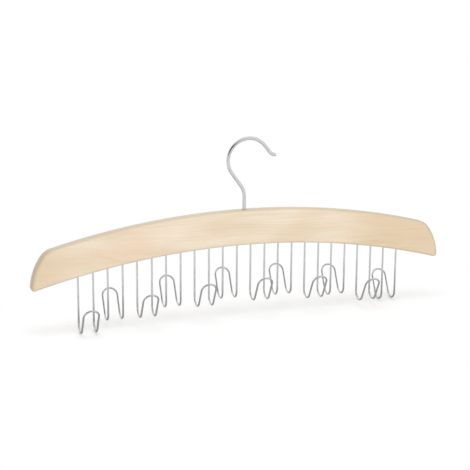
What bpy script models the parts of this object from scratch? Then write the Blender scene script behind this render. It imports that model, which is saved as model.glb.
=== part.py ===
"""Wooden belt hanger with a swivel hook and a row of bent wire belt hooks.

Metres, +Z up. X runs along the bar and the front faces -Y. The origin lies on the swivel
axis where the inside of the hook's crown crosses it, so the hanger hangs straight below it.
Heights named "over the bar" are measured from the middle of the bar's top edge.
"""
import math

import bmesh
import bpy
from mathutils import Matrix, Vector

MM = 0.001

# Wooden bar
BAR_LENGTH = 446.0 * MM
BAR_HEIGHT = 37.0 * MM
BAR_THICKNESS = 12.0 * MM
BAR_TOP_RADIUS = 788.0 * MM
BAR_UNDERSIDE_RADIUS = 811.0 * MM
BAR_SHOULDER_RADIUS = 19.0 * MM
BAR_END_RADIUS = 61.0 * MM
BAR_TIP_RADIUS = 3.4 * MM
BAR_END_LEAN = math.radians(5.0)  # of the end's curve where it meets the tip
BAR_EDGE_ROUNDING = 2.9 * MM

# Swivel hook: one wire, bent in the plane of the bar
SWIVEL_WIRE_RADIUS = 1.9 * MM
SHANK_RISE = 13.2 * MM
NECK_RADIUS = 20.0 * MM
NECK_ANGLE = math.radians(36.0)
NECK_STRAIGHT = 16.5 * MM
LOOP_RADIUS = 22.3 * MM
LOOP_ANGLE = math.radians(178.0)
NOSE_STRAIGHT = 8.5 * MM
NOSE_RADIUS = 8.0 * MM
NOSE_ANGLE = math.radians(35.0)
NOSE_END = 1.4 * MM

# Peened end of the shank and the washer above it, in a pocket under the bar
HEAD_RADIUS = 3.1 * MM
HEAD_HEIGHT = 1.6 * MM
HEAD_EDGE = 0.5 * MM
WASHER_RADIUS = 3.7 * MM
WASHER_THICKNESS = 0.8 * MM
WASHER_CHAMFER = 0.15 * MM
POCKET_DEPTH = 5.0 * MM

# Belt hooks: one bent wire each, with two legs in the bar's underside
BELT_HOOK_COUNT = 12
BELT_HOOK_END_MARGIN = 47.5 * MM
BELT_WIRE_RADIUS = 1.0 * MM
BELT_HOOK_WIDTH = 15.5 * MM
BELT_HOOK_DROP = 57.9 * MM  # from the bar's underside to the lowest point of the wire's centre line
BELT_BEND_RADIUS = 8.0 * MM
BELT_TONGUE_LEAN = math.radians(27.5)
BELT_TONGUE_STRAIGHT = 18.0 * MM
LEG_SOCKET_DEPTH = 12.0 * MM

# Clearances
RUNNING_CLEARANCE = 0.3 * MM
SOCKET_CLEARANCE = 0.3 * MM
POCKET_CLEARANCE = 0.4 * MM
CUTTER_OVERRUN = 10.0 * MM

# Smoothness of the surfaces
ARCH_STEPS = 20
SHOULDER_STEPS = 6
END_STEPS = 6
TIP_STEPS = 6
EDGE_SEGMENTS = 3
NECK_STEPS = 4
LOOP_STEPS = 18
NOSE_STEPS = 4
DOME_STEPS = 3
BELT_BEND_STEPS = 7
BELT_ARCH_STEPS = 10
SWIVEL_BEVEL_RESOLUTION = 4
BELT_BEVEL_RESOLUTION = 2
SOCKET_SIDES = 12
TURNED_STEPS = 24

MERGE_DISTANCE = 0.001 * MM
HEAD_SEAT_STEP = 0.05 * MM
DOME_END_ANGLE = math.radians(80.0)
SHARP_ANGLE = math.radians(35.0)

X_AXIS = Vector((1.0, 0.0, 0.0))
Y_AXIS = Vector((0.0, 1.0, 0.0))
Z_AXIS = Vector((0.0, 0.0, 1.0))


class BentWire:
    """A wire laid out as straight runs and bends, with a thickness factor at each point."""

    def __init__(self, start, heading, thickness=1.0):
        self.position = Vector(start)
        self.heading = Vector(heading)
        self.points = []
        self.mark(thickness)

    def mark(self, thickness):
        self.points.append((self.position.copy(), thickness))

    def straight(self, length, thickness=1.0):
        self.position = self.position + self.heading * length
        self.mark(thickness)

    def bend(self, axis, radius, angle, steps):
        """Turn the heading by the right-hand rule about the axis, on a round bend."""
        arm = -axis.cross(self.heading) * radius
        centre = self.position - arm
        for step in range(1, steps + 1):
            turn = Matrix.Rotation(angle * step / steps, 3, axis)
            self.position = centre + turn @ arm
            self.mark(1.0)
        self.heading = Matrix.Rotation(angle, 3, axis) @ self.heading

    def dome(self, radius, steps):
        """Round off the end of the wire."""
        reached = 0.0
        for step in range(1, steps + 1):
            angle = DOME_END_ANGLE * step / steps
            self.straight(radius * math.sin(angle) - reached, math.cos(angle))
            reached = radius * math.sin(angle)


def clear_scene():
    for thing in list(bpy.data.objects):
        bpy.data.objects.remove(thing, do_unlink=True)


def new_collection(name):
    collection = bpy.data.collections.new(name)
    bpy.context.scene.collection.children.link(collection)
    return collection


def make_material(name, colour, metallic, roughness):
    material = bpy.data.materials.new(name)
    material.use_nodes = True
    shader = material.node_tree.nodes["Principled BSDF"]
    shader.inputs["Base Color"].default_value = (*colour, 1.0)
    shader.inputs["Metallic"].default_value = metallic
    shader.inputs["Roughness"].default_value = roughness
    return material


def underside_height(x):
    """Height of the bar's underside over the bar, at a distance x from its middle."""
    return math.sqrt(BAR_UNDERSIDE_RADIUS ** 2 - x ** 2) - BAR_UNDERSIDE_RADIUS - BAR_HEIGHT


def belt_hook_positions():
    """Middles of the belt hooks along the bar, evenly spaced between the end margins."""
    first = -BAR_LENGTH / 2 + BELT_HOOK_END_MARGIN + BELT_HOOK_WIDTH / 2
    pitch = -2 * first / (BELT_HOOK_COUNT - 1)
    return [first + pitch * index for index in range(BELT_HOOK_COUNT)]


def crown_height():
    """Height over the bar at which the swivel axis meets the inside of the crown."""
    reach = NECK_RADIUS * (1 - math.cos(NECK_ANGLE)) + NECK_STRAIGHT * math.sin(NECK_ANGLE)
    rise = SHANK_RISE + NECK_RADIUS * math.sin(NECK_ANGLE) + NECK_STRAIGHT * math.cos(NECK_ANGLE)
    loop_x = LOOP_RADIUS * math.cos(NECK_ANGLE) - reach
    loop_z = rise + LOOP_RADIUS * math.sin(NECK_ANGLE)
    inside = LOOP_RADIUS - SWIVEL_WIRE_RADIUS
    return loop_z + math.sqrt(inside ** 2 - loop_x ** 2)


def head_bottom_height():
    """Height of the peened head's lower face over the bar."""
    roof = POCKET_DEPTH - BAR_HEIGHT
    return roof - RUNNING_CLEARANCE - WASHER_THICKNESS - RUNNING_CLEARANCE - HEAD_HEIGHT


def arc(centre, radius, start, end, steps):
    """Points on a round stretch from one angle to another, both ends included."""
    points = []
    for step in range(steps + 1):
        angle = start + (end - start) * step / steps
        points.append(centre + Vector((math.cos(angle), math.sin(angle))) * radius)
    return points


def direction_angle(start, end):
    """Angle of the direction from one point to another."""
    return math.atan2(end.y - start.y, end.x - start.x)


def bar_outline():
    """Points round the bar's face, from the middle of its underside, anticlockwise."""
    top_centre = Vector((0.0, -BAR_TOP_RADIUS))
    underside_centre = Vector((0.0, -BAR_HEIGHT - BAR_UNDERSIDE_RADIUS))
    tip_x = BAR_LENGTH / 2 - BAR_TIP_RADIUS
    tip_arm = BAR_UNDERSIDE_RADIUS + BAR_TIP_RADIUS
    tip = underside_centre + Vector((tip_x, math.sqrt(tip_arm ** 2 - tip_x ** 2)))

    outward = Vector((math.cos(BAR_END_LEAN), math.sin(BAR_END_LEAN)))
    end_centre = tip - outward * (BAR_END_RADIUS - BAR_TIP_RADIUS)

    # The shoulder's arc runs smoothly into the end's arc and into the top's arc
    end_arm = BAR_END_RADIUS - BAR_SHOULDER_RADIUS
    top_arm = BAR_TOP_RADIUS - BAR_SHOULDER_RADIUS
    between = end_centre - top_centre
    along = (top_arm ** 2 - end_arm ** 2 + between.length_squared) / (2 * between.length)
    aside = math.sqrt(top_arm ** 2 - along ** 2)
    upward = between.normalized()
    shoulder = top_centre + upward * along + Vector((upward.y, -upward.x)) * aside

    quarter = math.pi / 2
    tip_angle = direction_angle(underside_centre, tip)
    end_angle = direction_angle(end_centre, shoulder)
    shoulder_angle = direction_angle(top_centre, shoulder)
    half = arc(underside_centre, BAR_UNDERSIDE_RADIUS, quarter, tip_angle, ARCH_STEPS)
    half += arc(tip, BAR_TIP_RADIUS, tip_angle - math.pi, BAR_END_LEAN, TIP_STEPS)[1:]
    half += arc(end_centre, BAR_END_RADIUS, BAR_END_LEAN, end_angle, END_STEPS)[1:]
    half += arc(shoulder, BAR_SHOULDER_RADIUS, end_angle, shoulder_angle, SHOULDER_STEPS)[1:]
    half += arc(top_centre, BAR_TOP_RADIUS, shoulder_angle, quarter, ARCH_STEPS)[1:]
    other_half = [Vector((-point.x, point.y)) for point in reversed(half[1:-1])]
    return half + other_half


def shade(mesh):
    """Smooth round surfaces, with sharp edges kept."""
    mesh.shade_smooth()
    mesh.set_sharp_from_angle(angle=SHARP_ANGLE)


def mesh_from_curve(curve_object, collection):
    """Replace a curve object by a closed mesh object of the same name and place."""
    name = curve_object.name
    bpy.context.view_layer.update()
    evaluated = curve_object.evaluated_get(bpy.context.evaluated_depsgraph_get())
    mesh = bpy.data.meshes.new_from_object(evaluated)
    work = bmesh.new()
    work.from_mesh(mesh)
    bmesh.ops.remove_doubles(work, verts=work.verts, dist=MERGE_DISTANCE)
    bmesh.ops.dissolve_limit(work, angle_limit=math.radians(0.05), verts=work.verts, edges=work.edges)
    work.to_mesh(mesh)
    work.free()
    placed = curve_object.matrix_world.copy()
    bpy.data.objects.remove(curve_object, do_unlink=True)
    solid = bpy.data.objects.new(name, mesh)
    solid.matrix_world = placed
    collection.objects.link(solid)
    return solid


def make_bar_blank(collection):
    """The arched board before its edges are rounded and its holes are drilled."""
    curve = bpy.data.curves.new("wooden_bar", "CURVE")
    curve.dimensions = "2D"
    curve.fill_mode = "BOTH"
    curve.extrude = BAR_THICKNESS / 2
    outline = bar_outline()
    spline = curve.splines.new("POLY")
    spline.points.add(len(outline) - 1)
    for target, point in zip(spline.points, outline):
        target.co = (point.x, point.y, 0.0, 1.0)
    spline.use_cyclic_u = True
    board = bpy.data.objects.new("wooden_bar", curve)
    board.rotation_euler = (math.pi / 2, 0.0, 0.0)
    collection.objects.link(board)
    return mesh_from_curve(board, collection)


def as_cutter(cutter):
    cutter.hide_render = True
    cutter.display_type = "WIRE"
    return cutter


def turned_object(name, profile, closed, collection):
    """A profile of radius and height points, turned about the Z axis."""
    mesh = bpy.data.meshes.new(name)
    work = bmesh.new()
    corners = [work.verts.new((radius, 0.0, height)) for radius, height in profile]
    for first, second in zip(corners, corners[1:]):
        work.edges.new((first, second))
    if closed:
        work.edges.new((corners[-1], corners[0]))
    work.to_mesh(mesh)
    work.free()
    turned = bpy.data.objects.new(name, mesh)
    collection.objects.link(turned)
    screw = turned.modifiers.new("turned", "SCREW")
    screw.steps = TURNED_STEPS
    screw.render_steps = TURNED_STEPS
    screw.use_merge_vertices = True
    screw.merge_threshold = MERGE_DISTANCE
    return turned


def make_shank_cutter(axis, cutters):
    """Bore for the swivel hook's shank, with the pocket for its head and washer."""
    bore = SWIVEL_WIRE_RADIUS + RUNNING_CLEARANCE
    pocket = max(WASHER_RADIUS, HEAD_RADIUS) + POCKET_CLEARANCE
    roof = POCKET_DEPTH - BAR_HEIGHT
    bottom = -BAR_HEIGHT - CUTTER_OVERRUN
    profile = [
        (0.0, CUTTER_OVERRUN),
        (bore, CUTTER_OVERRUN),
        (bore, roof),
        (pocket, roof),
        (pocket, bottom),
        (0.0, bottom),
    ]
    cutter = as_cutter(turned_object("shank_bore_cutter", profile, False, cutters))
    cutter.parent = axis


def make_socket_cutters(axis, cutters):
    """Blind sockets for the belt hooks' legs, as deep as the legs reach."""
    reach = LEG_SOCKET_DEPTH + SOCKET_CLEARANCE
    length = reach + CUTTER_OVERRUN
    mesh = bpy.data.meshes.new("leg_socket_cutter")
    work = bmesh.new()
    bmesh.ops.create_cone(
        work,
        cap_ends=True,
        segments=SOCKET_SIDES,
        radius1=BELT_WIRE_RADIUS + SOCKET_CLEARANCE,
        radius2=BELT_WIRE_RADIUS + SOCKET_CLEARANCE,
        depth=length,
    )
    work.to_mesh(mesh)
    work.free()
    for index, middle in enumerate(belt_hook_positions(), start=1):
        for side, offset in (("left", -BELT_HOOK_WIDTH / 2), ("right", BELT_HOOK_WIDTH / 2)):
            cutter = as_cutter(bpy.data.objects.new(f"socket_cutter_{index:02d}_{side}", mesh))
            cutter.location = (middle + offset, 0.0, underside_height(middle) + reach - length / 2)
            cutter.parent = axis
            cutters.objects.link(cutter)


def make_wooden_bar(axis, collection, cutters, material):
    """The arched board with rounded edges, the shank's bore and the legs' sockets."""
    bar = make_bar_blank(collection)
    bar.parent = axis
    bar.data.materials.append(material)
    shade(bar.data)
    rounding = bar.modifiers.new("rounded_edges", "BEVEL")
    rounding.width = min(BAR_EDGE_ROUNDING, 0.45 * BAR_THICKNESS, 0.9 * BAR_TIP_RADIUS)
    rounding.segments = EDGE_SEGMENTS
    rounding.limit_method = "ANGLE"
    rounding.angle_limit = math.radians(60.0)
    rounding.use_clamp_overlap = False
    drilling = bar.modifiers.new("drilled_holes", "BOOLEAN")
    drilling.operation = "DIFFERENCE"
    drilling.operand_type = "COLLECTION"
    drilling.collection = cutters
    drilling.solver = "EXACT"
    return bar


def wire_curve(name, wire, radius, resolution, material):
    """Round wire along the points of a bent wire, with closed ends."""
    curve = bpy.data.curves.new(name, "CURVE")
    curve.dimensions = "3D"
    curve.bevel_depth = radius
    curve.bevel_resolution = resolution
    curve.use_fill_caps = True
    spline = curve.splines.new("POLY")
    spline.points.add(len(wire.points) - 1)
    for target, (position, thickness) in zip(spline.points, wire.points):
        target.co = (*position, 1.0)
        target.radius = thickness
    spline.use_smooth = True
    curve.materials.append(material)
    return curve


def swivel_hook_wire():
    """The hook's wire from its peened head to its rounded nose, heights over the bar."""
    head = HEAD_RADIUS / SWIVEL_WIRE_RADIUS
    head_face = (HEAD_RADIUS - HEAD_EDGE) / SWIVEL_WIRE_RADIUS
    bottom = head_bottom_height()
    wire = BentWire((0.0, 0.0, bottom), Z_AXIS, head_face)
    wire.straight(HEAD_EDGE, head)
    wire.straight(HEAD_HEIGHT - HEAD_EDGE - HEAD_SEAT_STEP, head)
    wire.straight(HEAD_SEAT_STEP)
    wire.straight(SHANK_RISE - bottom - HEAD_HEIGHT)
    wire.bend(-Y_AXIS, NECK_RADIUS, NECK_ANGLE, NECK_STEPS)
    wire.straight(NECK_STRAIGHT)
    wire.bend(Y_AXIS, LOOP_RADIUS, LOOP_ANGLE, LOOP_STEPS)
    wire.straight(NOSE_STRAIGHT)
    wire.bend(-Y_AXIS, NOSE_RADIUS, NOSE_ANGLE, NOSE_STEPS)
    wire.straight(NOSE_END)
    wire.dome(SWIVEL_WIRE_RADIUS, DOME_STEPS)
    return wire


def make_swivel_hook(collection, material):
    curve = wire_curve(
        "swivel_hook", swivel_hook_wire(), SWIVEL_WIRE_RADIUS, SWIVEL_BEVEL_RESOLUTION, material
    )
    hook = bpy.data.objects.new("swivel_hook", curve)
    hook.location = (0.0, 0.0, -crown_height())
    collection.objects.link(hook)
    return hook


def make_shank_washer(axis, collection, material):
    """Flat washer on the shank, between the pocket's roof and the peened head."""
    top = POCKET_DEPTH - BAR_HEIGHT - RUNNING_CLEARANCE
    bottom = top - WASHER_THICKNESS
    hole = SWIVEL_WIRE_RADIUS + RUNNING_CLEARANCE
    profile = [
        (hole, top),
        (WASHER_RADIUS - WASHER_CHAMFER, top),
        (WASHER_RADIUS, top - WASHER_CHAMFER),
        (WASHER_RADIUS, bottom + WASHER_CHAMFER),
        (WASHER_RADIUS - WASHER_CHAMFER, bottom),
        (hole, bottom),
    ]
    washer = turned_object("shank_washer", profile, True, collection)
    washer.parent = axis
    washer.data.materials.append(material)
    return washer


def belt_hook_wire():
    """A front belt hook's wire from leg end to leg end, its middle over the bar's underside."""
    lean = BELT_TONGUE_LEAN
    bend = math.pi - lean
    leg = LEG_SOCKET_DEPTH + BELT_HOOK_DROP - BELT_BEND_RADIUS
    wire = BentWire((-BELT_HOOK_WIDTH / 2, 0.0, LEG_SOCKET_DEPTH), -Z_AXIS)
    wire.straight(leg)
    wire.bend(-X_AXIS, BELT_BEND_RADIUS, bend, BELT_BEND_STEPS)
    wire.straight(BELT_TONGUE_STRAIGHT)
    wire.bend(wire.heading.cross(X_AXIS), BELT_HOOK_WIDTH / 2, math.pi, BELT_ARCH_STEPS)
    wire.straight(BELT_TONGUE_STRAIGHT)
    wire.bend(X_AXIS, BELT_BEND_RADIUS, bend, BELT_BEND_STEPS)
    wire.straight(leg)
    return wire


def make_belt_hooks(axis, collection, material):
    """Belt hooks along the bar, turned by turns to its front and its back."""
    curve = wire_curve("belt_hook", belt_hook_wire(), BELT_WIRE_RADIUS, BELT_BEVEL_RESOLUTION, material)
    for index, middle in enumerate(belt_hook_positions(), start=1):
        to_front = index % 2 == 1
        side = "front" if to_front else "back"
        hook = bpy.data.objects.new(f"belt_hook_{index:02d}_{side}", curve)
        hook.location = (middle, 0.0, underside_height(middle))
        hook.rotation_euler = (0.0, 0.0, 0.0 if to_front else math.pi)
        hook.parent = axis
        collection.objects.link(hook)


def main():
    clear_scene()
    parts = new_collection("belt_hanger")
    cutters = new_collection("cutters")

    wood = make_material("pale_lacquered_wood", (0.78, 0.62, 0.42), 0.0, 0.42)
    bright_wire = make_material("bright_plated_wire", (0.78, 0.78, 0.79), 1.0, 0.18)
    washer_steel = make_material("zinc_plated_steel", (0.62, 0.63, 0.65), 1.0, 0.35)

    axis = bpy.data.objects.new("swivel_axis", None)
    axis.location = (0.0, 0.0, -crown_height())
    parts.objects.link(axis)

    make_shank_cutter(axis, cutters)
    make_socket_cutters(axis, cutters)
    make_wooden_bar(axis, parts, cutters, wood)
    make_swivel_hook(parts, bright_wire)
    make_shank_washer(axis, parts, washer_steel)
    make_belt_hooks(axis, parts, bright_wire)


main()
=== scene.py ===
"""Looks of the wooden belt hanger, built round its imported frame.

Metres, +Z up. X runs along the bar and the front faces -Y. The frame's origin is the place inside
the swivel hook's crown that hangs on a rail. Every piece is modelled where its solid is.
"""
from __future__ import annotations

import logging
import math
from collections.abc import Callable, Iterable
from dataclasses import dataclass
from enum import Enum
from itertools import cycle

import bpy
from mathutils import Matrix, Vector


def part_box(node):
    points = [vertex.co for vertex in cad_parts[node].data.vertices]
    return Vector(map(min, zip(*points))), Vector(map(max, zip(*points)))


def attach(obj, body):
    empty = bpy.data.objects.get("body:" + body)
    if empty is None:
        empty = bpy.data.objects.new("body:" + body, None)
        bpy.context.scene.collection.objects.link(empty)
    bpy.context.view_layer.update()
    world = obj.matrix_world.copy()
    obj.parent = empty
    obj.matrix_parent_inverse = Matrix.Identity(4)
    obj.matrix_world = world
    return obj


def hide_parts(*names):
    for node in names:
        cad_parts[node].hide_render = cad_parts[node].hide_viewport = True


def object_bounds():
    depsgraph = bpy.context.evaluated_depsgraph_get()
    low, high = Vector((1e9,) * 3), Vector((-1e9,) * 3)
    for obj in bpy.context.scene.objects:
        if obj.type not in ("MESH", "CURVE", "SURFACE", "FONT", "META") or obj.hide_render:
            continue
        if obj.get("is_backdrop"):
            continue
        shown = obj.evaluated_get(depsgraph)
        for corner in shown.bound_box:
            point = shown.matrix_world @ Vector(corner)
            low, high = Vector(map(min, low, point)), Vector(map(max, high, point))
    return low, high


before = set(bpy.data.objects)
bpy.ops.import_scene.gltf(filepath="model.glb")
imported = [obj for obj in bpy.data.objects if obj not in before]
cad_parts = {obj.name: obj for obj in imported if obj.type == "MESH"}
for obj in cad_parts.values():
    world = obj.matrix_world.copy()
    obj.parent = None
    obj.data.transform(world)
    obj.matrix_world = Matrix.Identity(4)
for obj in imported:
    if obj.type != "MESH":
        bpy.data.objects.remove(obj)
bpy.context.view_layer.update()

LOG = logging.getLogger("belt_hanger")

MM = 0.001
# Points nearer than this are one point, and what lies nearer than this to a place is there.
SAME_POINT = 0.001 * MM
SAME_PLACE = 0.01 * MM
# Edges stay sharp from these angles.
SHARP = math.radians(30.0)
WIRE_SHARP = math.radians(50.0)
X_AXIS, Y_AXIS, Z_AXIS = (row.copy() for row in Matrix.Identity(3))
WIRE_RUN = "wire_run"
# Sockets of a Mix node: its two colours, and the colour that comes out.
MIX_FIRST, MIX_SECOND, MIX_COLOUR = 6, 7, 2

Triple = tuple[float, float, float]
Colour = Triple
Piece = bpy.types.Object


class Body(Enum):
    """The two bodies that the swivel joins."""

    HOOK = "hook"
    HANGER = "hanger"


class Part(Enum):
    """The parts of a mesh that a test can pick, with what Blender calls them there."""

    EDGE = "edges"
    FACE = "polygons"


class Lean(Enum):
    """The way a belt hook's tongue leans out, with the turn that brings it there."""

    FRONT = 0.0
    BACK = math.pi


def from_screen(red: int, green: int, blue: int) -> Colour:
    """Colour, in the linear values of shaders, that shows these 0 to 255 values on screen."""
    shares = (value / 255 for value in (red, green, blue))
    return tuple(one / 12.92 if one <= 0.04045 else ((one + 0.055) / 1.055) ** 2.4 for one in shares)


class Signal:
    """A number that travels through a material's nodes. Arithmetic on it adds Math nodes."""

    def __init__(self, nodes: NodeSheet, socket: bpy.types.NodeSocket) -> None:
        """Keep the socket and the sheet of nodes that it belongs to."""
        self.nodes = nodes
        self.socket = socket

    def _math(self, operation: str, *terms: Signal | float) -> Signal:
        """One Math node over the given terms."""
        return self.nodes.add("ShaderNodeMath", dict(enumerate(terms)), operation=operation)

    def __add__(self, other: Signal | float) -> Signal:
        """Sum."""
        return self._math("ADD", self, other)

    __radd__ = __add__

    def __sub__(self, other: Signal | float) -> Signal:
        """Difference."""
        return self._math("SUBTRACT", self, other)

    def __rsub__(self, other: float) -> Signal:
        """Difference, with the signal taken off a number."""
        return self._math("SUBTRACT", other, self)

    def __mul__(self, other: Signal | float) -> Signal:
        """Product."""
        return self._math("MULTIPLY", self, other)

    __rmul__ = __mul__

    def __truediv__(self, other: Signal | float) -> Signal:
        """Quotient."""
        return self._math("DIVIDE", self, other)

    def __pow__(self, exponent: float) -> Signal:
        """Power."""
        return self._math("POWER", self, exponent)

    def __abs__(self) -> Signal:
        """Size without its sign."""
        return self._math("ABSOLUTE", self)

    def at_least(self, other: Signal | float) -> Signal:
        """The larger of two values."""
        return self._math("MAXIMUM", self, other)

    def soft_least(self, other: Signal | float, softness: float) -> Signal:
        """The smaller of two values, rounded off where they are closer than the softness."""
        return self._math("SMOOTH_MIN", self, other, softness)

    def sine(self) -> Signal:
        """Sine of the value in radians."""
        return self._math("SINE", self)

    def root(self) -> Signal:
        """Square root."""
        return self._math("SQRT", self)

    def ramp(self, low: float, high: float) -> Signal:
        """Smooth step from 0 at the low value to 1 at the high one."""
        values = {"Value": self, "From Min": low, "From Max": high}
        return self.nodes.add("ShaderNodeMapRange", values, interpolation_type="SMOOTHSTEP")


class NodeSheet:
    """The nodes of one material or of the world."""

    def __init__(self, tree: bpy.types.NodeTree) -> None:
        """Start from an empty sheet."""
        tree.nodes.clear()
        self.tree = tree

    def add(
        self, kind: str, values: dict[str | int, object], output: str | int = 0, **settings: object
    ) -> Signal:
        """Add one node.

        Args:
            kind: Blender's type of the node.
            values: numbers, colours or signals for its inputs, by name or place.
            output: the output to carry on with.
            settings: its own settings, set before its sockets are filled.

        Returns:
            The chosen output, or the first input of a node that has no output.
        """
        node = self.tree.nodes.new(kind)
        for name, value in settings.items():
            setattr(node, name, value)
        for place, value in values.items():
            socket = node.inputs[place]
            if isinstance(value, Signal):
                self.tree.links.new(value.socket, socket)
            else:
                socket.default_value = (*value, 1.0) if socket.type == "RGBA" else value
        return Signal(self, node.outputs[output] if node.outputs else node.inputs[0])

    def blend(self, share: Signal, first: Colour | Signal, second: Colour | Signal) -> Signal:
        """Blend of two colours: the first at a share of 0, the second at 1."""
        values = {0: share, MIX_FIRST: first, MIX_SECOND: second}
        return self.add("ShaderNodeMix", values, output=MIX_COLOUR, data_type="RGBA")

    def place(self) -> Signal:
        """Place of the surface point in the piece's own coordinates."""
        return self.add("ShaderNodeTexCoord", {}, output="Object")

    def facing(self) -> Signal:
        """Direction that the surface faces, in the piece's own coordinates."""
        return self.add("ShaderNodeTexCoord", {}, output="Normal")

    def parts(self, vector: Signal) -> list[Signal]:
        """The three numbers of a vector."""
        first = self.add("ShaderNodeSeparateXYZ", {0: vector})
        return [Signal(self, socket) for socket in first.socket.node.outputs]

    def stretch(self, vector: Signal, scale: Triple) -> Signal:
        """A vector with each of its numbers scaled."""
        return self.add("ShaderNodeVectorMath", {0: vector, 1: scale}, operation="MULTIPLY")

    def cloud(self, vector: Signal, scale: float = 1.0, detail: float = 2.0) -> Signal:
        """Soft noise between 0 and 1, with its scale and its number of finer layers."""
        return self.add("ShaderNodeTexNoise", {"Vector": vector, "Scale": scale, "Detail": detail})

    def relief(self, height: Signal, depth: float, strength: float) -> Signal:
        """Normal bent by a height between 0 and 1 that stands up to a depth in metres."""
        return self.add("ShaderNodeBump", {"Height": height, "Distance": depth, "Strength": strength})

    def principled(self, values: dict[str, object]) -> Signal:
        """Principled shader with the given inputs."""
        return self.add("ShaderNodeBsdfPrincipled", values)

    def seen_rays(self) -> Signal:
        """1 for rays from the camera, from metal and through glass, 0 for the rest.

        Returns:
            The signal.
        """
        kinds = ("Is Camera Ray", "Is Glossy Ray", "Is Transmission Ray")
        camera, glossy, through = (self.add("ShaderNodeLightPath", {}, output=kind) for kind in kinds)
        return camera.at_least(glossy).at_least(through)


@dataclass(frozen=True)
class Finish:
    """What the finishes share: a name and the way they go on a piece."""

    name: str

    def surface(self, nodes: NodeSheet) -> Signal:
        """Shader of the finish."""
        raise NotImplementedError

    def material(self) -> bpy.types.Material:
        """Lay the finish's nodes out.

        Returns:
            The material.
        """
        material = bpy.data.materials.new(self.name)
        material.use_nodes = True
        nodes = NodeSheet(material.node_tree)
        nodes.add("ShaderNodeOutputMaterial", {"Surface": self.surface(nodes)})
        return material

    def put_on(self, pieces: Iterable[Piece]) -> None:
        """Give every piece this finish and no other.

        Args:
            pieces: the pieces.
        """
        material = self.material()
        for piece in pieces:
            piece.data.materials.clear()
            piece.data.materials.append(material)


@dataclass(frozen=True)
class Marking:
    """A kind of marking in a surface: how fine and detailed it is, where it begins and is full."""

    fineness: Triple
    detail: float
    begins: float
    full: float

    def on(self, nodes: NodeSheet, place: Signal) -> Signal:
        """1 where the marking is full, 0 where there is none of it."""
        clouds = nodes.cloud(nodes.stretch(place, self.fineness), detail=self.detail)
        return clouds.ramp(self.begins, self.full)


@dataclass(frozen=True)
class Arc:
    """A round stretch of an outline: its centre's place along the bar and height, and its radius."""

    x: float
    z: float
    radius: float

    def depth(self, along: Signal, up: Signal) -> Signal:
        """How far inside the arc a surface point lies. It counts as deeper short of the centre.

        Args:
            along: the point's distance from the bar's middle.
            up: its height.

        Returns:
            The depth, below 0 for a point outside.
        """
        beyond = (along - self.x).at_least(0.0)
        short = (self.x - along).at_least(0.0)
        rise = up - self.z
        return self.radius + short - (beyond * beyond + rise * rise).root()


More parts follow.
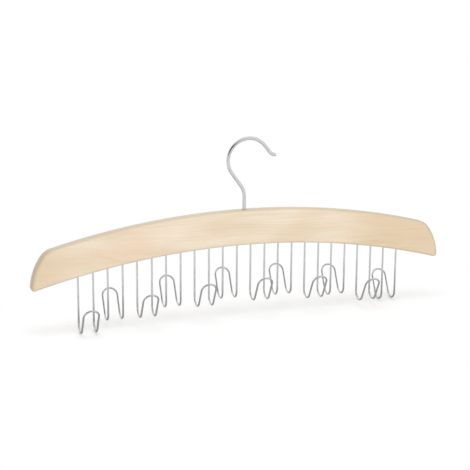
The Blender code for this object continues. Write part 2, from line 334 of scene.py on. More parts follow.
@dataclass(frozen=True, kw_only=True)
class PaleLacqueredWood(Finish):
    """Pale, fine-grained wood under a thin satin lacquer, with its grain along the bar and painted shade at
    its rims, top edge and ends.
    """

    top: Arc
    underside: Arc
    end: Arc
    name: str = "pale_lacquered_wood"
    pale: Colour = from_screen(243, 227, 205)
    tan: Colour = from_screen(231, 210, 180)
    warm: Colour = from_screen(240, 211, 184)
    # Deeper tone towards the ends: partly the wood's own tone, partly painted shade that makes the right end
    # darker.
    end_tone_and_shade: Colour = from_screen(227, 203, 168)
    line: Colour = from_screen(205, 174, 136)
    # Greyer tone of the painted shade along the bar's rounded rims.
    rim: Colour = from_screen(215, 201, 179)
    end_grain: Colour = from_screen(203, 179, 148)
    # Darker tone of the painted shade on the rounded top edge and the ends, which face away from the front
    # light.
    edge: Colour = from_screen(190, 172, 147)
    patches: Marking = Marking((10.0, 30.0, 48.0), 4.0, 0.36, 0.66)
    warmth: Marking = Marking((13.0, 25.0, 34.0), 3.0, 0.48, 0.7)
    streaks: Marking = Marking((11.0, 330.0, 330.0), 3.0, 0.5, 0.78)
    pores: Marking = Marking((230.0, 2600.0, 2600.0), 1.0, 0.66, 0.8)
    fibre_fineness: Triple = (26.0, 1300.0, 1300.0)
    ring_width: float = 4.2 * MM
    ring_strength: Marking = Marking((7.0, 60.0, 60.0), 3.0, 0.38, 0.68)
    ring_thinness: float = 2.6
    faintest_ring: float = 0.15
    sway_fineness: Triple = (4.0, 19.0, 19.0)
    sway_rings: float = 11.0
    waver_fineness: Triple = (24.0, 170.0, 170.0)
    waver_rings: float = 1.1
    heart: Triple = (0.06, 0.045, -0.165)
    heart_slope: float = 0.045
    # The ends' deeper tone is measured from a point this far left of the middle, so that painted shade
    # darkens the right end more.
    end_shade_shift: float = 35.0 * MM
    end_from: float = 120.0 * MM
    end_to: float = 190.0 * MM
    # These set the painted shade along the rims: how soft it turns at the shoulders, how much narrower it is
    # along the arches, and where it fades out.
    shoulder_softness: float = 6.0 * MM
    arch_relief: float = 1.8 * MM
    rim_from: float = 2.4 * MM
    rim_to: float = 4.8 * MM
    roughness: float = 0.44
    lacquer: float = 0.22
    lacquer_roughness: float = 0.3
    relief_depth: float = 0.03 * MM

    def to_rim(self, nodes: NodeSheet) -> Signal:
        """Distance of a surface point from the bar's outline, with some more along its arches, for the
        painted shade along the rim.

        Args:
            nodes: the sheet to lay it on.

        Returns:
            The distance, in metres.
        """
        along, _, up = nodes.parts(nodes.place())
        upper = self.arch_relief + self.top.depth(abs(along), up)
        outer = self.end.depth(abs(along), up)
        lower = self.arch_relief - self.underside.depth(abs(along), up)
        return upper.soft_least(outer, self.shoulder_softness).soft_least(lower, MM)

    def growth_rings(self, nodes: NodeSheet) -> Signal:
        """Faint growth rings of uneven width and strength round a heart below the bar.

        Args:
            nodes: the sheet to lay them on.

        Returns:
            1 on a ring's dark line, 0 between two.
        """
        to_bar = tuple(-value for value in self.heart)
        place = nodes.add("ShaderNodeMapping", {"Vector": nodes.place(), "Location": to_bar})
        along, across, up = nodes.parts(place)
        sway = nodes.cloud(nodes.stretch(place, self.sway_fineness)) - 0.5
        waver = nodes.cloud(nodes.stretch(place, self.waver_fineness)) - 0.5
        strength = self.ring_strength.on(nodes, place)
        radius = (across * across + up * up).root() + along * self.heart_slope
        turns = radius / self.ring_width + sway * self.sway_rings + waver * self.waver_rings
        rings = ((turns * math.tau).sine() * 0.5 + 0.5) ** self.ring_thinness
        return rings * (self.faintest_ring + (1.0 - self.faintest_ring) * strength)

    def surface(self, nodes: NodeSheet) -> Signal:
        """Shader of the finish.

        Args:
            nodes: the sheet to lay it on.

        Returns:
            The shader.
        """
        place = nodes.place()
        along, _, _ = nodes.parts(place)
        face_x, face_y, face_z = nodes.parts(nodes.facing())

        fibres = nodes.cloud(nodes.stretch(place, self.fibre_fineness), detail=3.0)
        pores = self.pores.on(nodes, place)
        # Darker towards both ends, the right one more: partly the wood's tone, partly painted shade.
        to_darker_end = abs(along + self.end_shade_shift).ramp(self.end_from, self.end_to)
        # Painted shade: a greyer band along the outline, wider at the ends, where the rounded edge turns away
        # from the light.
        rim_shade = 1.0 - self.to_rim(nodes).ramp(self.rim_from, self.rim_to)
        cut_across = abs(face_x).ramp(0.04, 0.55)
        # Painted shade: the rounded top edge and the ends are darker, as if lit from the front.
        edge_shade = (1.0 - abs(face_y)).ramp(0.01, 0.5) * face_z.ramp(-0.7, 0.1)

        wood = self.pale
        for where, strength, colour in (
            (self.patches.on(nodes, place), 0.8, self.tan),
            (self.warmth.on(nodes, place), 0.65, self.warm),
            (to_darker_end, 0.75, self.end_tone_and_shade),
            (self.growth_rings(nodes), 0.2, self.line),
            (self.streaks.on(nodes, place), 0.2, self.line),
            (fibres - 0.5, 0.55, self.line),
            (pores, 0.26, self.line),
            (rim_shade, 0.5, self.rim),
            (cut_across, 0.5 + 0.35 * fibres, self.end_grain),
            (edge_shade, 0.35, self.edge),
        ):
            wood = nodes.blend(where * strength, wood, colour)

        height = 1.0 - 0.5 * fibres - 0.5 * pores
        return nodes.principled({
            "Base Color": wood,
            "Roughness": self.roughness + 0.12 * (fibres - 0.5) + 0.1 * pores,
            "Coat Weight": self.lacquer,
            "Coat Roughness": self.lacquer_roughness,
            "Normal": nodes.relief(height, self.relief_depth, 0.35),
        })


@dataclass(frozen=True)
class PlatedWire(Finish):
    """Drawn steel wire with bright plating: faint lines along the wire, slightly uneven gloss."""

    name: str = "bright_plated_wire"
    bright: Colour = from_screen(221, 222, 224)
    dull: Colour = from_screen(188, 189, 192)
    roughness: float = 0.14
    line_fineness: Triple = (9.0, 9.0, 34.0)
    uneven: Marking = Marking((1.2, 1.2, 160.0), 3.0, 0.35, 0.7)
    relief_depth: float = 0.01 * MM

    def surface(self, nodes: NodeSheet) -> Signal:
        """Shader of the finish.

        Args:
            nodes: the sheet to lay it on.

        Returns:
            The shader.
        """
        run = nodes.add("ShaderNodeAttribute", {}, output="Vector", attribute_name=WIRE_RUN)
        drawn = nodes.cloud(nodes.stretch(run, self.line_fineness), detail=3.0)
        uneven = self.uneven.on(nodes, run)
        return nodes.principled({
            "Base Color": nodes.blend(0.55 * drawn + 0.35 * uneven, self.bright, self.dull),
            "Metallic": 1.0,
            "Roughness": self.roughness + 0.08 * uneven + 0.05 * drawn,
            "Normal": nodes.relief(drawn, self.relief_depth, 0.3),
        })


@dataclass(frozen=True)
class TurnedZinc(Finish):
    """Dull zinc-plated steel, with fine rings from turning round the swivel axis."""

    name: str = "zinc_plated_steel"
    light: Colour = from_screen(206, 208, 211)
    dark: Colour = from_screen(176, 179, 183)
    roughness: float = 0.34
    cloud_fineness: float = 900.0
    ring_frequency: float = 26000.0
    relief_depth: float = 0.01 * MM

    def surface(self, nodes: NodeSheet) -> Signal:
        """Shader of the finish.

        Args:
            nodes: the sheet to lay it on.

        Returns:
            The shader.
        """
        place = nodes.place()
        across, deep, _ = nodes.parts(place)
        clouds = nodes.cloud(place, self.cloud_fineness, 3.0)
        radius = (across * across + deep * deep).root()
        rings = (radius * self.ring_frequency + clouds * 5.0).sine() * 0.5 + 0.5
        return nodes.principled({
            "Base Color": nodes.blend(0.35 * rings + 0.6 * clouds, self.light, self.dark),
            "Metallic": 1.0,
            "Roughness": self.roughness + 0.12 * clouds,
            "Normal": nodes.relief(rings, self.relief_depth, 0.4),
        })


class Bench:
    """Steps that the pieces are modelled with. Turns follow the right-hand rule."""

    @staticmethod
    def take(thing: Piece) -> None:
        """Select one object, and nothing else.

        Args:
            thing: the object.
        """
        bpy.ops.object.select_all(action="DESELECT")
        thing.select_set(True)
        bpy.context.view_layer.objects.active = thing

    @staticmethod
    def open(piece: str) -> Piece:
        """Name the primitive that was just added and open it, with all of it selected.

        Args:
            piece: the name.

        Returns:
            The object, open for editing, with its place in its mesh.
        """
        thing = bpy.context.object
        thing.name = thing.data.name = piece
        bpy.ops.object.transform_apply()
        bpy.ops.object.mode_set(mode="EDIT")
        bpy.ops.mesh.select_mode(type="VERT")
        bpy.ops.mesh.select_all(action="SELECT")
        return thing

    @staticmethod
    def pull(step: Vector) -> None:
        """Extrude what is selected by a step."""
        bpy.ops.mesh.extrude_region_move(TRANSFORM_OT_translate={"value": tuple(step)})

    @staticmethod
    def spin(centre: Vector, axis: Vector, angle: float, steps: int) -> None:
        """Spin what is selected by an angle round an axis through a centre."""
        bpy.ops.mesh.spin(steps=steps, angle=-angle, center=centre, axis=axis)

    @staticmethod
    def select(thing: Piece, part: Part, wanted: Callable[[list[Vector]], bool]) -> None:
        """Select the edges or faces that a test picks by their corners, and nothing else.

        Args:
            thing: the object that is open for editing.
            part: which of the two.
            wanted: the test.
        """
        bpy.ops.mesh.select_mode(type=part.name)
        bpy.ops.mesh.select_all(action="DESELECT")
        bpy.ops.object.mode_set(mode="OBJECT")
        points = thing.data.vertices
        for one in getattr(thing.data, part.value):
            one.select = wanted([points[index].co for index in one.vertices])
        bpy.ops.object.mode_set(mode="EDIT")

    @staticmethod
    def merge(reach: float) -> None:
        """Merge the points of the open piece that lie nearer to each other than a distance.

        Args:
            reach: the distance.
        """
        bpy.ops.mesh.select_mode(type="VERT")
        bpy.ops.mesh.select_all(action="SELECT")
        bpy.ops.mesh.remove_doubles(threshold=reach)

    @staticmethod
    def close(thing: Piece, sharp: float = SHARP) -> Piece:
        """Merge doubles, fill open ends, turn the faces outwards and smooth the round ones.

        Args:
            thing: the object that is open for editing.
            sharp: the angle from which an edge stays sharp.

        Returns:
            The finished object.
        """
        Bench.merge(SAME_POINT)
        bpy.ops.mesh.fill_holes(sides=0)
        bpy.ops.mesh.normals_make_consistent()
        bpy.ops.object.mode_set(mode="OBJECT")
        Bench.take(thing)
        bpy.ops.object.shade_smooth_by_angle(angle=sharp)
        return thing

    @staticmethod
    def apply(thing: Piece, kind: str, **settings: object) -> None:
        """Put one modifier on a piece and apply it.

        Args:
            thing: the piece.
            kind: Blender's type of the modifier.
            settings: its settings.
        """
        Bench.take(thing)
        modifier = thing.modifiers.new(kind.lower(), kind)
        for name, value in settings.items():
            setattr(modifier, name, value)
        bpy.ops.object.modifier_apply(modifier=modifier.name)

    @staticmethod
    def copy(thing: Piece, piece: str, move: Matrix) -> Piece:
        """Copy a piece with its own mesh, moved.

        Args:
            thing: the piece to copy.
            piece: the copy's name.
            move: the move from the piece to its copy.

        Returns:
            The copy, with its place in its mesh.
        """
        twin = thing.copy()
        twin.data = thing.data.copy()
        twin.name = twin.data.name = piece
        bpy.context.collection.objects.link(twin)
        twin.data.transform(move)
        return twin

    @staticmethod
    def join(things: list[Piece]) -> Piece:
        """Join objects into the first of them.

        Args:
            things: the objects.

        Returns:
            The joined object.
        """
        Bench.take(things[0])
        for thing in things[1:]:
            thing.select_set(True)
        bpy.ops.object.join()
        return things[0]


@dataclass(frozen=True)
class Station:
    """A ring of a round piece: its middle, its way, a mark on its side and how far along it is."""

    middle: Vector
    heading: Vector
    mark: Vector
    length: float


class Turning:
    """A round piece built up ring by ring: each step goes along its axis to a new radius."""

    def __init__(self, piece: str, start: Vector, heading: Vector, radius: float, sides: int) -> None:
        """Start from a circle.

        Args:
            piece: the name.
            start: middle of the first ring.
            heading: direction of the axis, or of the wire, there.
            radius: radius of the first ring.
            sides: how many sides it has round it.
        """
        turn = heading.to_track_quat("Z", "Y").to_euler()
        bpy.ops.object.select_all(action="DESELECT")
        bpy.ops.mesh.primitive_circle_add(vertices=sides, radius=radius, location=start, rotation=turn)
        self.thing = Bench.open(piece)
        self.middle = start.copy()
        self.heading = heading.copy()
        self.mark = heading.orthogonal().normalized()
        self.radius = radius
        self.length = 0.0
        self.stations: list[Station] = []
        self.note()

    def note(self) -> None:
        """Note the ring that was just drawn."""
        ring = Station(self.middle.copy(), self.heading.copy(), self.mark.copy(), self.length)
        self.stations.append(ring)

    def step(self, advance: float, radius: float) -> None:
        """Draw one more ring.

        Args:
            advance: how far along the axis.
            radius: its radius.
        """
        move = self.heading * advance
        Bench.pull(move)
        self.middle += move
        if radius != self.radius:
            growth = (radius / self.radius,) * 3
            bpy.ops.transform.resize(value=growth, center_override=self.middle)
            self.radius = radius
        self.length += advance
        self.note()

    def profile(self, points: Iterable[tuple[float, float]]) -> None:
        """Draw rings through points of a profile.

        Args:
            points: height over the first ring drawn here, and radius, of each ring.
        """
        reached = 0.0
        for height, radius in points:
            self.step(height - reached, radius)
            reached = height

    def finish(self, sharp: float = SHARP) -> Piece:
        """The finished piece, with edges sharp from the given angle."""
        return Bench.close(self.thing, sharp)


class WireBender(Turning):
    """A round wire that is bent, run by run, from the ring that the last run left selected."""

    def straight(self, length: float) -> None:
        """Run straight on for a length."""
        self.step(length, self.radius)

    def bend(self, axis: Vector, radius: float, angle: float, steps: int) -> None:
        """Bend the wire round an axis.

        Args:
            axis: direction of the axis.
            radius: radius of the bend's centre line.
            angle: the turn.
            steps: how many rings it takes.
        """
        arm = -axis.cross(self.heading) * radius
        centre = self.middle - arm
        Bench.spin(centre, axis, angle, steps)
        part = Matrix.Rotation(angle / steps, 3, axis)
        for _ in range(steps):
            arm = part @ arm
            self.heading = part @ self.heading
            self.mark = part @ self.mark
            self.middle = centre + arm
            self.length += radius * angle / steps
            self.note()

    def dome(self, steps: int) -> None:
        """Round the wire's end off.

        Args:
            steps: how many rings the rounding takes.
        """
        full = self.radius
        reached = 0.0
        for step in range(1, steps + 1):
            angle = math.pi / 2 * step / (steps + 0.5)
            self.step(full * math.sin(angle) - reached, full * math.cos(angle))
            reached = full * math.sin(angle)

    def finish(self, sharp: float = WIRE_SHARP) -> Piece:
        """Close the wire and mark its run on it.

        Args:
            sharp: the angle from which an edge stays sharp.

        Returns:
            The finished wire.
        """
        wire = super().finish(sharp)
        runs = wire.data.attributes.new(WIRE_RUN, "FLOAT_VECTOR", "POINT")
        for vertex, run in zip(wire.data.vertices, runs.data):
            ring = min(self.stations, key=lambda one: (vertex.co - one.middle).length_squared)
            arm = vertex.co - ring.middle
            turn = math.atan2(arm.dot(ring.heading.cross(ring.mark)), arm.dot(ring.mark))
            run.vector = (math.cos(turn), math.sin(turn), ring.length)
        return wire


@dataclass
class WoodenBar:
    """The arched board with its rounded edges and its drilled holes."""

    height: float = 37.0 * MM
    top_radius: float = 788.0 * MM
    underside_radius: float = 811.0 * MM
    shoulder_radius: float = 19.0 * MM
    end_radius: float = 61.0 * MM
    tip_radius: float = 3.4 * MM
    end_lean: float = math.radians(5.0)
    edge_rounding: float = 2.9 * MM
    shank_bore: float = 2.15 * MM
    pocket_radius: float = 4.1 * MM
    pocket_depth: float = 5.0 * MM
    leg_hole: float = 1.06 * MM
    leg_hole_depth: float = 12.3 * MM
    hole_chamfer: float = 0.2 * MM
    overrun: float = 6.0 * MM
    sliver: float = 0.02 * MM
    arch_steps: int = 40
    corner_steps: int = 12
    edge_steps: int = 6
    hole_sides: int = 28

    def __post_init__(self) -> None:
        """Take the bar's place from its solid, and work out where its end arcs meet."""
        low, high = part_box("wooden_bar")
        self.sides = (low.y, high.y)
        self.thickness = high.y - low.y
        self.top = high.z
        self.top_centre = Vector((0.0, low.y, self.top - self.top_radius))
        self.low_centre = Vector((0.0, low.y, self.top - self.height - self.underside_radius))
        tip_x = high.x - self.tip_radius
        tip_arm = self.underside_radius + self.tip_radius
        tip_rise = math.sqrt(tip_arm ** 2 - tip_x ** 2)
        self.tip = self.low_centre + Vector((tip_x, 0.0, tip_rise))
        outward = Vector((math.cos(self.end_lean), 0.0, math.sin(self.end_lean)))
        self.end_centre = self.tip - outward * (self.end_radius - self.tip_radius)
        end_arm = self.end_radius - self.shoulder_radius
        top_arm = self.top_radius - self.shoulder_radius
        between = self.end_centre - self.top_centre
        along = (top_arm ** 2 - end_arm ** 2 + between.length_squared) / (2 * between.length)
        aside = math.sqrt(top_arm ** 2 - along ** 2)
        upward = between.normalized()
        sideways = Vector((upward.z, 0.0, -upward.x))
        self.shoulder = self.top_centre + upward * along + sideways * aside
        self.tip_turn = math.atan2(tip_rise, tip_x)
        from_end = self.shoulder - self.end_centre
        self.end_turn = math.atan2(from_end.z, from_end.x)
        self.shoulder_turn = math.atan2(self.shoulder.z - self.top_centre.z, self.shoulder.x)

    def underside(self, x: float) -> float:
        """Height of the underside at a distance along the bar."""
        return self.low_centre.z + math.sqrt(self.underside_radius ** 2 - x ** 2)

    @staticmethod
    def lie_at(y: float, corners: list[Vector]) -> bool:
        """Whether all of the corners lie in the plane at a depth."""
        return all(abs(corner.y - y) < SAME_PLACE for corner in corners)

    def is_flat(self, corners: list[Vector]) -> bool:
        """Whether a face is part of the bar's front or of its back."""
        return any(self.lie_at(y, corners) for y in self.sides)

    def outline(self) -> Piece:
        """Draw the outline of the bar's front, anticlockwise from the middle of its underside.

        Returns:
            The outline, open for editing.
        """
        top_turn = math.pi - 2 * self.shoulder_turn
        half = (
            (self.low_centre, Y_AXIS, math.pi / 2 - self.tip_turn, self.arch_steps),
            (self.tip, -Y_AXIS, math.pi + self.end_lean - self.tip_turn, self.corner_steps),
            (self.end_centre, -Y_AXIS, self.end_turn - self.end_lean, self.corner_steps),
            (self.shoulder, -Y_AXIS, self.shoulder_turn - self.end_turn, self.corner_steps),
        )
        bpy.ops.object.select_all(action="DESELECT")
        start = (0.0, self.low_centre.y, self.underside(0.0))
        bpy.ops.mesh.primitive_plane_add(size=self.thickness, location=start)
        board = Bench.open("lacquered_board")
        bpy.ops.mesh.merge(type="CENTER")
        for centre, axis, angle, steps in half:
            Bench.spin(centre, axis, angle, steps)
        Bench.spin(self.top_centre, -Y_AXIS, top_turn, 2 * self.arch_steps)
        for centre, axis, angle, steps in reversed(half):
            Bench.spin(Vector((-centre.x, centre.y, centre.z)), axis, angle, steps)
        Bench.merge(SAME_PLACE)
        return board

    def fill(self, board: Piece, y: float) -> None:
        """Fill one flat face inside its rounded rim: strips between the arches, a fan at each end.

        Args:
            board: the board, open for editing.
            y: where the face is.
        """
        top = (Vector((0.0, y, self.top_centre.z)), self.top_radius - self.edge_rounding)
        low = (Vector((0.0, y, self.low_centre.z)), self.underside_radius + self.edge_rounding)
        arch_end = top[1] * math.cos(self.shoulder_turn) - MM

        def on_arch(ends: list[Vector]) -> bool:
            """Whether an edge is a piece of one of the two arches."""
            gaps = (max(abs((end - centre).length - radius) for end in ends) for centre, radius in (top, low))
            return min(gaps) < SAME_PLACE

        def at_end(ends: list[Vector], side: int) -> bool:
            """Whether an edge lies past the arches, on one side."""
            return not on_arch(ends) and all(end.x * side > arch_end for end in ends)

        Bench.select(board, Part.EDGE, lambda ends: self.lie_at(y, ends) and on_arch(ends))
        bpy.ops.mesh.bridge_edge_loops()
        for side in (-1, 1):
            Bench.select(board, Part.EDGE, lambda ends: self.lie_at(y, ends) and at_end(ends, side))
            bpy.ops.mesh.edge_face_add()
            bpy.ops.mesh.poke()

    def board(self) -> Piece:
        """Thicken the outline, round its two rims and fill the flat faces anew.

        Returns:
            The board before it is drilled.
        """
        board = self.outline()
        bpy.ops.mesh.edge_face_add()
        Bench.pull(Y_AXIS * self.thickness)
        bpy.ops.mesh.select_all(action="SELECT")
        bpy.ops.mesh.normals_make_consistent()
        Bench.select(board, Part.FACE, self.is_flat)
        bpy.ops.mesh.region_to_loop()
        bpy.ops.mesh.bevel(offset=self.edge_rounding, segments=self.edge_steps)
        Bench.select(board, Part.FACE, self.is_flat)
        bpy.ops.mesh.delete(type="ONLY_FACE")
        for y in self.sides:
            self.fill(board, y)
        return Bench.close(board)

    def shank_drill(self) -> Piece:
        """Turn the stepped drill for the pocket, the shank's bore and its chamfered mouth.

        Returns:
            The drill.
        """
        start = Vector((0.0, 0.0, self.underside(0.0) - self.overrun))
        roof = self.overrun + self.pocket_depth
        mouth = self.overrun + self.height
        wide = self.shank_bore + self.hole_chamfer
        drill = Turning("shank_drill", start, Z_AXIS, self.pocket_radius, self.hole_sides)
        drill.profile([
            (roof, self.pocket_radius),
            (roof, self.shank_bore),
            (mouth - self.hole_chamfer, self.shank_bore),
            (mouth, wide),
            (mouth + self.overrun, wide),
        ])
        return drill.finish()

    def leg_drills(self, places: Iterable[float]) -> list[Piece]:
        """Turn the drills for the belt hooks' legs.

        Args:
            places: the legs' places along the bar.

        Returns:
            One drill for each leg.
        """
        start = Vector((0.0, 0.0, -self.overrun))
        depth = self.overrun + self.leg_hole_depth
        drill = Turning("leg_drill", start, Z_AXIS, self.leg_hole, self.hole_sides)
        drill.profile([(depth, self.leg_hole), (depth + self.leg_hole / 2, self.leg_hole / 8)])
        pattern = drill.finish()
        drills = [
            Bench.copy(pattern, "leg_drill", Matrix.Translation((x, 0.0, self.underside(x))))
            for x in places
        ]
        bpy.data.objects.remove(pattern)
        return drills

    def build(self, leg_places: Iterable[float]) -> Piece:
        """Model the bar.

        Args:
            leg_places: places of the belt hooks' legs along the bar.

        Returns:
            The finished bar.
        """
        board = self.board()
        drills = Bench.join([self.shank_drill(), *self.leg_drills(leg_places)])
        Bench.apply(board, "BOOLEAN", object=drills, operation="DIFFERENCE", solver="EXACT")
        bpy.data.objects.remove(drills)
        Bench.take(board)
        bpy.ops.object.mode_set(mode="EDIT")
        Bench.merge(self.sliver)
        bpy.ops.object.mode_set(mode="OBJECT")
        bpy.ops.object.shade_smooth_by_angle(angle=SHARP)
        Bench.apply(board, "WEIGHTED_NORMAL", keep_sharp=True)
        self.dress(board)
        return board

    def dress(self, board: Piece) -> None:
        """Give the bar its finish, its body and the solid that it stands for.

        Args:
            board: the bar.
        """
        top = Arc(0.0, self.top_centre.z, self.top_radius)
        underside = Arc(0.0, self.low_centre.z, self.underside_radius)
        end = Arc(self.end_centre.x, self.end_centre.z, self.end_radius)
        PaleLacqueredWood(top=top, underside=underside, end=end).put_on([board])
        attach(board, Body.HANGER.value)
        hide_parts("wooden_bar")


@dataclass
class SwivelHook:
    """The swivel hook: one wire from its peened head to its rounded nose."""

    wire_radius: float = 1.9 * MM
    shank_rise: float = 13.2 * MM
    neck_radius: float = 20.0 * MM
    neck_angle: float = math.radians(36.0)
    neck_straight: float = 16.5 * MM
    loop_radius: float = 22.3 * MM
    loop_angle: float = math.radians(178.0)
    nose_straight: float = 8.5 * MM
    nose_radius: float = 8.0 * MM
    nose_angle: float = math.radians(35.0)
    nose_end: float = 1.4 * MM
    head_start: float = 0.3 * MM
    head_profile_mm: tuple[tuple[float, float], ...] = (
        (0.03, 1.2), (0.11, 2.0), (0.24, 2.6), (0.42, 2.93), (0.66, 3.1), (1.34, 3.1),
        (1.5, 3.04), (1.58, 2.92), (1.6, 2.74), (1.6, 2.06), (1.66, 1.94), (1.8, 1.9),
    )
    neck_steps: int = 14
    loop_steps: int = 60
    nose_steps: int = 10
    end_rings: int = 6
    sides: int = 32
    finish: Finish = PlatedWire()

    def build(self, bar_top: float) -> Piece:
        """Bend the hook.

        Args:
            bar_top: height of the middle of the bar's top edge.

        Returns:
            The finished hook.
        """
        low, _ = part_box("swivel_hook")
        start = Vector((0.0, 0.0, low.z))
        wire = WireBender("swivel_hook_wire", start, Z_AXIS, self.head_start, self.sides)
        wire.profile((height * MM, radius * MM) for height, radius in self.head_profile_mm)
        wire.straight(bar_top + self.shank_rise - wire.middle.z)
        wire.bend(-Y_AXIS, self.neck_radius, self.neck_angle, self.neck_steps)
        wire.straight(self.neck_straight)
        wire.bend(Y_AXIS, self.loop_radius, self.loop_angle, self.loop_steps)
        wire.straight(self.nose_straight)
        wire.bend(-Y_AXIS, self.nose_radius, self.nose_angle, self.nose_steps)
        wire.straight(self.nose_end)
        wire.dome(self.end_rings)
        hook = wire.finish()
        self.dress(hook)
        return hook

    def dress(self, hook: Piece) -> None:
        """Give the hook its finish, its body and the solid that it stands for.

        Args:
            hook: the hook.
        """
        self.finish.put_on([hook])
        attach(hook, Body.HOOK.value)
        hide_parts("swivel_hook")


@dataclass
class ShankWasher:
    """The flat washer between the pocket's roof and the peened head."""

    hole: float = 2.2 * MM
    radius: float = 3.7 * MM
    thickness: float = 0.8 * MM
    rounding: float = 0.2 * MM
    half_round: float = 0.06 * MM
    sharp: float = math.radians(40.0)
    sides: int = 48
    finish: Finish = TurnedZinc()

    def build(self) -> Piece:
        """Turn the washer.

        Returns:
            The finished washer.
        """
        low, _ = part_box("shank_washer")
        soft = self.rounding
        inner = self.radius - soft
        mid = self.half_round
        top = self.thickness
        washer = Turning("washer_disc", Vector((0.0, 0.0, low.z)), Z_AXIS, self.hole, self.sides)
        washer.profile([
            (0.0, inner),
            (mid, self.radius - mid),
            (soft, self.radius),
            (top - soft, self.radius),
            (top - mid, self.radius - mid),
            (top, inner),
            (top, self.hole + soft / 2),
            (top - soft / 2, self.hole),
            (0.0, self.hole),
        ])
        disc = washer.finish(self.sharp)
        self.dress(disc)
        return disc

    def dress(self, disc: Piece) -> None:
        """Give the washer its finish, its body and the solid that it stands for.

        Args:
            disc: the washer.
        """
        self.finish.put_on([disc])
        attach(disc, Body.HANGER.value)
        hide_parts("shank_washer")


@dataclass
class BeltHookRow:
    """The belt hooks: one bent wire each, leaning by turns to the front and to the back."""

    count: int = 12
    wire_radius: float = 1.0 * MM
    width: float = 15.5 * MM
    drop: float = 57.9 * MM
    bend_radius: float = 8.0 * MM
    tongue_lean: float = math.radians(27.5)
    tongue_straight: float = 18.0 * MM
    leg_depth: float = 12.0 * MM
    bend_steps: int = 28
    tongue_steps: int = 32
    sides: int = 20
    run_shift: float = 0.37
    finish: Finish = PlatedWire()

    def nodes(self) -> list[tuple[str, Lean]]:
        """The solids' names from left to right, each with its lean."""
        pairs = zip(range(1, self.count + 1), cycle(Lean))
        return [(f"belt_hook_{number:02d}_{lean.name.lower()}", lean) for number, lean in pairs]

    def leg_places(self) -> list[float]:
        """Take the legs' places from the solids.

        Returns:
            The places of all the legs along the bar.
        """
        places = []
        for node, _ in self.nodes():
            low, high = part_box(node)
            places += [low.x + self.wire_radius, high.x - self.wire_radius]
        return places

    def pattern(self) -> Piece:
        """Bend one front hook with the bar's underside at the origin.

        Returns:
            The pattern hook.
        """
        turn = math.pi - self.tongue_lean
        leg = self.leg_depth + self.drop - self.bend_radius
        start = Vector((-self.width / 2, 0.0, self.leg_depth))
        wire = WireBender("belt_wire", start, -Z_AXIS, self.wire_radius, self.sides)
        wire.straight(leg)
        wire.bend(-X_AXIS, self.bend_radius, turn, self.bend_steps)
        wire.straight(self.tongue_straight)
        wire.bend(wire.heading.cross(X_AXIS), self.width / 2, math.pi, self.tongue_steps)
        wire.straight(self.tongue_straight)
        wire.bend(X_AXIS, self.bend_radius, turn, self.bend_steps)
        wire.straight(leg)
        return wire.finish()

    def build(self) -> list[Piece]:
        """Bend the hooks and set them in the bar.

        Returns:
            The finished hooks, from left to right.
        """
        pattern = self.pattern()
        wires = []
        for number, (node, lean) in enumerate(self.nodes()):
            low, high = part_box(node)
            seat = Vector(((low.x + high.x) / 2, 0.0, high.z - self.leg_depth))
            move = Matrix.Translation(seat) @ Matrix.Rotation(lean.value, 4, Z_AXIS)
            wire = Bench.copy(pattern, node.replace("hook", "wire"), move)
            for run in wire.data.attributes[WIRE_RUN].data:
                run.vector.z += number * self.run_shift
            wires.append(wire)
        bpy.data.objects.remove(pattern)
        self.dress(wires)
        return wires

    def dress(self, wires: list[Piece]) -> None:
        """Give the hooks their finish, their body and the solids that they stand for.

        Args:
            wires: the hooks, from left to right.
        """
        self.finish.put_on(wires)
        for wire, (node, _) in zip(wires, self.nodes()):
            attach(wire, Body.HANGER.value)
            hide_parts(node)


@dataclass(frozen=True)
class StudioFloor(Finish):
    """Pale floor paper that turns to plain white round the object's shadow and has no underside."""

    name: str = "studio_floor"
    paper: Colour = (0.9, 0.9, 0.9)
    own_glow: float = 0.18
    shade_length: float = 260.0 * MM
    shade_depth: float = 90.0 * MM
    fade_from: float = 0.6
    fade_to: float = 1.4

    def surface(self, nodes: NodeSheet) -> Signal:
        """Shader of the finish.

        Args:
            nodes: the sheet to lay it on.

        Returns:
            The shader.
        """
        along, deep, _ = nodes.parts(nodes.place())
        along = along / self.shade_length
        deep = deep / self.shade_depth
        away = (along * along + deep * deep).root().ramp(self.fade_from, self.fade_to)
        paper = nodes.add("ShaderNodeBsdfDiffuse", {"Color": self.paper})
        glow = nodes.add("ShaderNodeEmission", {"Strength": self.own_glow})
        white = nodes.add("ShaderNodeEmission", {"Strength": 1.0})
        near = nodes.add("ShaderNodeAddShader", {0: paper, 1: glow})
        seen = nodes.add("ShaderNodeMixShader", {0: away, 1: near, 2: white})
        shown = nodes.add("ShaderNodeMixShader", {0: nodes.seen_rays(), 1: paper, 2: seen})
        under = nodes.add("ShaderNodeNewGeometry", {}, output="Backfacing")
        clear = nodes.add("ShaderNodeBsdfTransparent", {})
        return nodes.add("ShaderNodeMixShader", {0: under, 1: shown, 2: clear})


@dataclass(frozen=True)
class CardFelt(Finish):
    """Felt of the cards that put darker bands into bright metal, in places a little worn."""

    name: str = "card_felt"
    shade: float = 0.08
    worn: float = 1.4
    nap_fineness: float = 60.0

    def surface(self, nodes: NodeSheet) -> Signal:
        """Shader of the finish.

        Args:
            nodes: the sheet to lay it on.

        Returns:
            The shader.
        """
        wear = nodes.cloud(nodes.place(), self.nap_fineness)
        colour = nodes.blend(wear, (self.shade,) * 3, (self.shade * self.worn,) * 3)
        return nodes.add("ShaderNodeBsdfDiffuse", {"Color": colour})


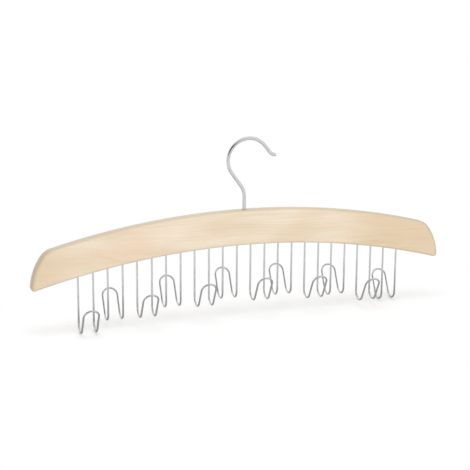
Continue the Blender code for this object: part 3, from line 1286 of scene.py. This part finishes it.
@dataclass(frozen=True)
class Softbox:
    """A soft rectangular lamp that points at the hanger and leaves no glare on its metal."""

    name: str
    place: Triple
    width: float
    height: float
    watts: float

    def hang(self, target: Vector) -> None:
        """Hang the lamp so that it points at a place.

        Args:
            target: the place.
        """
        turn = (target - Vector(self.place)).to_track_quat("-Z", "Y").to_euler()
        bpy.ops.object.select_all(action="DESELECT")
        bpy.ops.object.light_add(type="AREA", location=self.place, rotation=turn)
        lamp = bpy.context.object
        lamp.name = lamp.data.name = self.name
        lamp.data.shape = "RECTANGLE"
        lamp.data.size = self.width
        lamp.data.size_y = self.height
        lamp.data.energy = self.watts
        lamp.visible_glossy = False


@dataclass(frozen=True)
class FeltCard:
    """A felt card outside the picture, seen only in bright metal."""

    name: str
    place: Triple
    facing: Triple
    width: float
    height: float
    felt: CardFelt = CardFelt()
    thickness: float = 0.3 * MM

    def stand(self) -> None:
        """Stand the card in its place."""
        facing = Vector(self.facing).normalized()
        turn = facing.to_track_quat("Z", "Y").to_euler()
        bpy.ops.object.select_all(action="DESELECT")
        bpy.ops.mesh.primitive_plane_add(size=1.0, location=self.place, rotation=turn)
        bpy.context.object.scale = (self.width, self.height, 1.0)
        card = Bench.open(self.name)
        Bench.pull(-facing * self.thickness)
        Bench.close(card)
        for rays in ("camera", "diffuse", "shadow"):
            setattr(card, f"visible_{rays}", False)
        self.felt.put_on([card])
        card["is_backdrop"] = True


@dataclass
class Studio:
    """Floor, soft light and the camera at the photograph's viewing angle."""

    lowest: float
    aim: Triple = (-10.9 * MM, -3.3 * MM, -97.0 * MM)
    azimuth: float = math.radians(19.47)
    elevation: float = math.radians(14.21)
    roll: float = math.radians(0.44)
    distance: float = 1305.3 * MM
    photo_focal_length: float = 47.4
    closer: float = 2.05
    sensor_width: float = 36.0
    floor_size: float = 16.0
    floor_gap: float = 1.0 * MM
    ambient: float = 0.6
    softboxes: tuple[Softbox, ...] = (
        Softbox("overhead_softbox", (-0.16, -0.24, 1.2), 0.85, 0.65, 5.0),
        Softbox("front_softbox", (-0.05, -1.7, 0.4), 1.2, 0.9, 8.9),
        Softbox("back_softbox", (0.3, 1.7, 0.5), 1.2, 0.9, 5.0),
    )
    cards: tuple[FeltCard, ...] = (
        FeltCard("front_card", (-0.6, -1.4, 0.7), (0.4, 0.85, -0.45), 1.6, 1.2),
        FeltCard("left_card", (-1.25, -0.45, 0.7), (0.85, 0.35, -0.5), 1.0, 1.1),
    )
    # The low card lies under the hooks, seen only in the wires, and stands in for the floor's shadow there: a
    # painted shadow in their reflections.
    low_card_gap: float = 0.5 * MM
    low_card_ahead: float = 20.0 * MM
    low_card_size: tuple[float, float] = (0.5, 0.12)
    floor_shadow_felt: CardFelt = CardFelt("pale_felt", 0.44)

    def lay_floor(self) -> None:
        """Lay the floor under the lowest belt hooks."""
        bpy.ops.object.select_all(action="DESELECT")
        place = (0.0, 0.0, self.lowest - self.floor_gap)
        bpy.ops.mesh.primitive_plane_add(size=self.floor_size, location=place)
        floor = Bench.open("studio_floor")
        bpy.ops.object.mode_set(mode="OBJECT")
        StudioFloor().put_on([floor])
        floor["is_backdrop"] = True

    def light(self) -> None:
        """Hang the softboxes, stand the cards up and set the even light from all round."""
        for softbox in self.softboxes:
            softbox.hang(Vector(self.aim))
        # Grey card under the hooks: painted shadow for the wires' reflections.
        under = (0.0, -self.low_card_ahead, self.lowest - self.low_card_gap)
        low_card = FeltCard("low_card", under, tuple(Z_AXIS), *self.low_card_size, self.floor_shadow_felt)
        for card in (*self.cards, low_card):
            card.stand()
        world = bpy.data.worlds.new("studio_light")
        world.use_nodes = True
        bpy.context.scene.world = world
        nodes = NodeSheet(world.node_tree)
        strength = self.ambient + (1.0 - self.ambient) * nodes.seen_rays()
        background = nodes.add("ShaderNodeBackground", {"Color": (1.0,) * 3, "Strength": strength})
        nodes.add("ShaderNodeOutputWorld", {"Surface": background})

    def set_camera(self) -> None:
        """Set the camera where the photograph was taken, with a longer lens."""
        turn = (
            Matrix.Rotation(-self.azimuth, 3, Z_AXIS)
            @ Matrix.Rotation(math.pi / 2 - self.elevation, 3, X_AXIS)
            @ Matrix.Rotation(self.roll, 3, Z_AXIS)
        )
        place = Vector(self.aim) + turn @ Z_AXIS * self.distance
        bpy.ops.object.camera_add(location=place, rotation=turn.to_euler())
        camera = bpy.context.object
        camera.name = camera.data.name = "photo_camera"
        camera.data.sensor_width = self.sensor_width
        camera.data.lens = self.photo_focal_length * self.closer
        bpy.context.scene.camera = camera
        bpy.context.scene.view_settings.view_transform = "Standard"

    def build(self) -> None:
        """Set the studio up."""
        self.lay_floor()
        self.light()
        self.set_camera()


def main() -> None:
    """Build every piece in order, then the studio."""
    logging.basicConfig(level=logging.INFO, format="%(name)s: %(message)s")
    row = BeltHookRow()
    bar = WoodenBar()
    board = bar.build(row.leg_places())
    hook = SwivelHook().build(bar.top)
    disc = ShankWasher().build()
    for piece in (board, hook, disc, *row.build()):
        LOG.info("%s: %d faces", piece.name, len(piece.data.polygons))
    Studio(lowest=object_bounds()[0].z).build()


if __name__ == "__main__":
    main()
